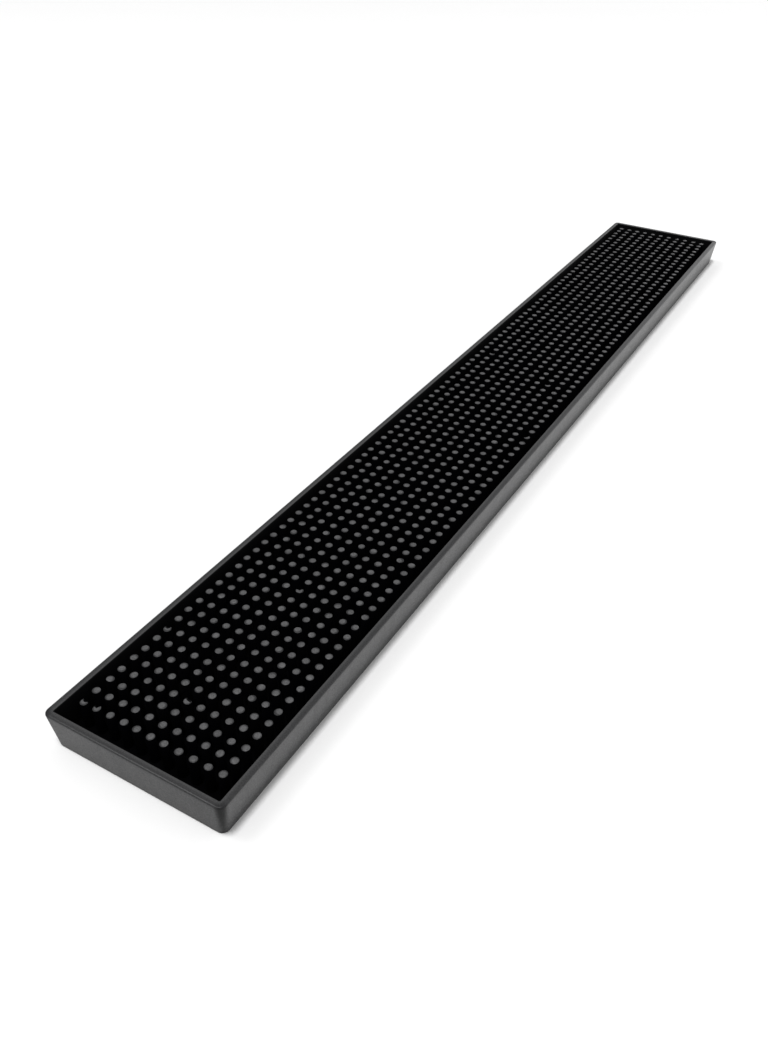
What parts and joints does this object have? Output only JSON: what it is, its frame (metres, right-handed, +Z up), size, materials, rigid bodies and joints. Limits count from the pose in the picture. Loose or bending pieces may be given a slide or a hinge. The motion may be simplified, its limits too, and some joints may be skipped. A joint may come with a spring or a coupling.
{
  "type": "bar rail mat",
  "caption": "Long narrow black rubber bar mat: a raised rim round a floor of upright nubs that glasses stand on while spills drain between them.",
  "frame": {"origin": "centre of the flat underside", "axes": "+Y along the mat, +X across it, +Z up through the nub tops"},
  "size_m": [0.08, 0.6, 0.0165],
  "materials": {
    "rim_rubber": "matte moulded rubber, dark grey",
    "floor_rubber": "smooth black moulded rubber",
    "nub_rubber": "black rubber with dull grey worn tops"
  },
  "bodies": {
    "root": {"floor_sheet": "floor_rubber", "rim_left": "rim_rubber", "rim_right": "rim_rubber", "rim_front": "rim_rubber", "rim_back": "rim_rubber", "corner_front_left": "rim_rubber", "corner_front_right": "rim_rubber", "corner_back_left": "rim_rubber", "corner_back_right": "rim_rubber", "nub_column_01": "nub_rubber", "nub_column_02": "nub_rubber", "nub_column_03": "nub_rubber", "nub_column_04": "nub_rubber", "nub_column_05": "nub_rubber", "nub_column_06": "nub_rubber", "nub_column_07": "nub_rubber", "nub_column_08": "nub_rubber", "nub_column_09": "nub_rubber", "nub_column_10": "nub_rubber", "nub_column_11": "nub_rubber"}
  },
  "joints": []
}
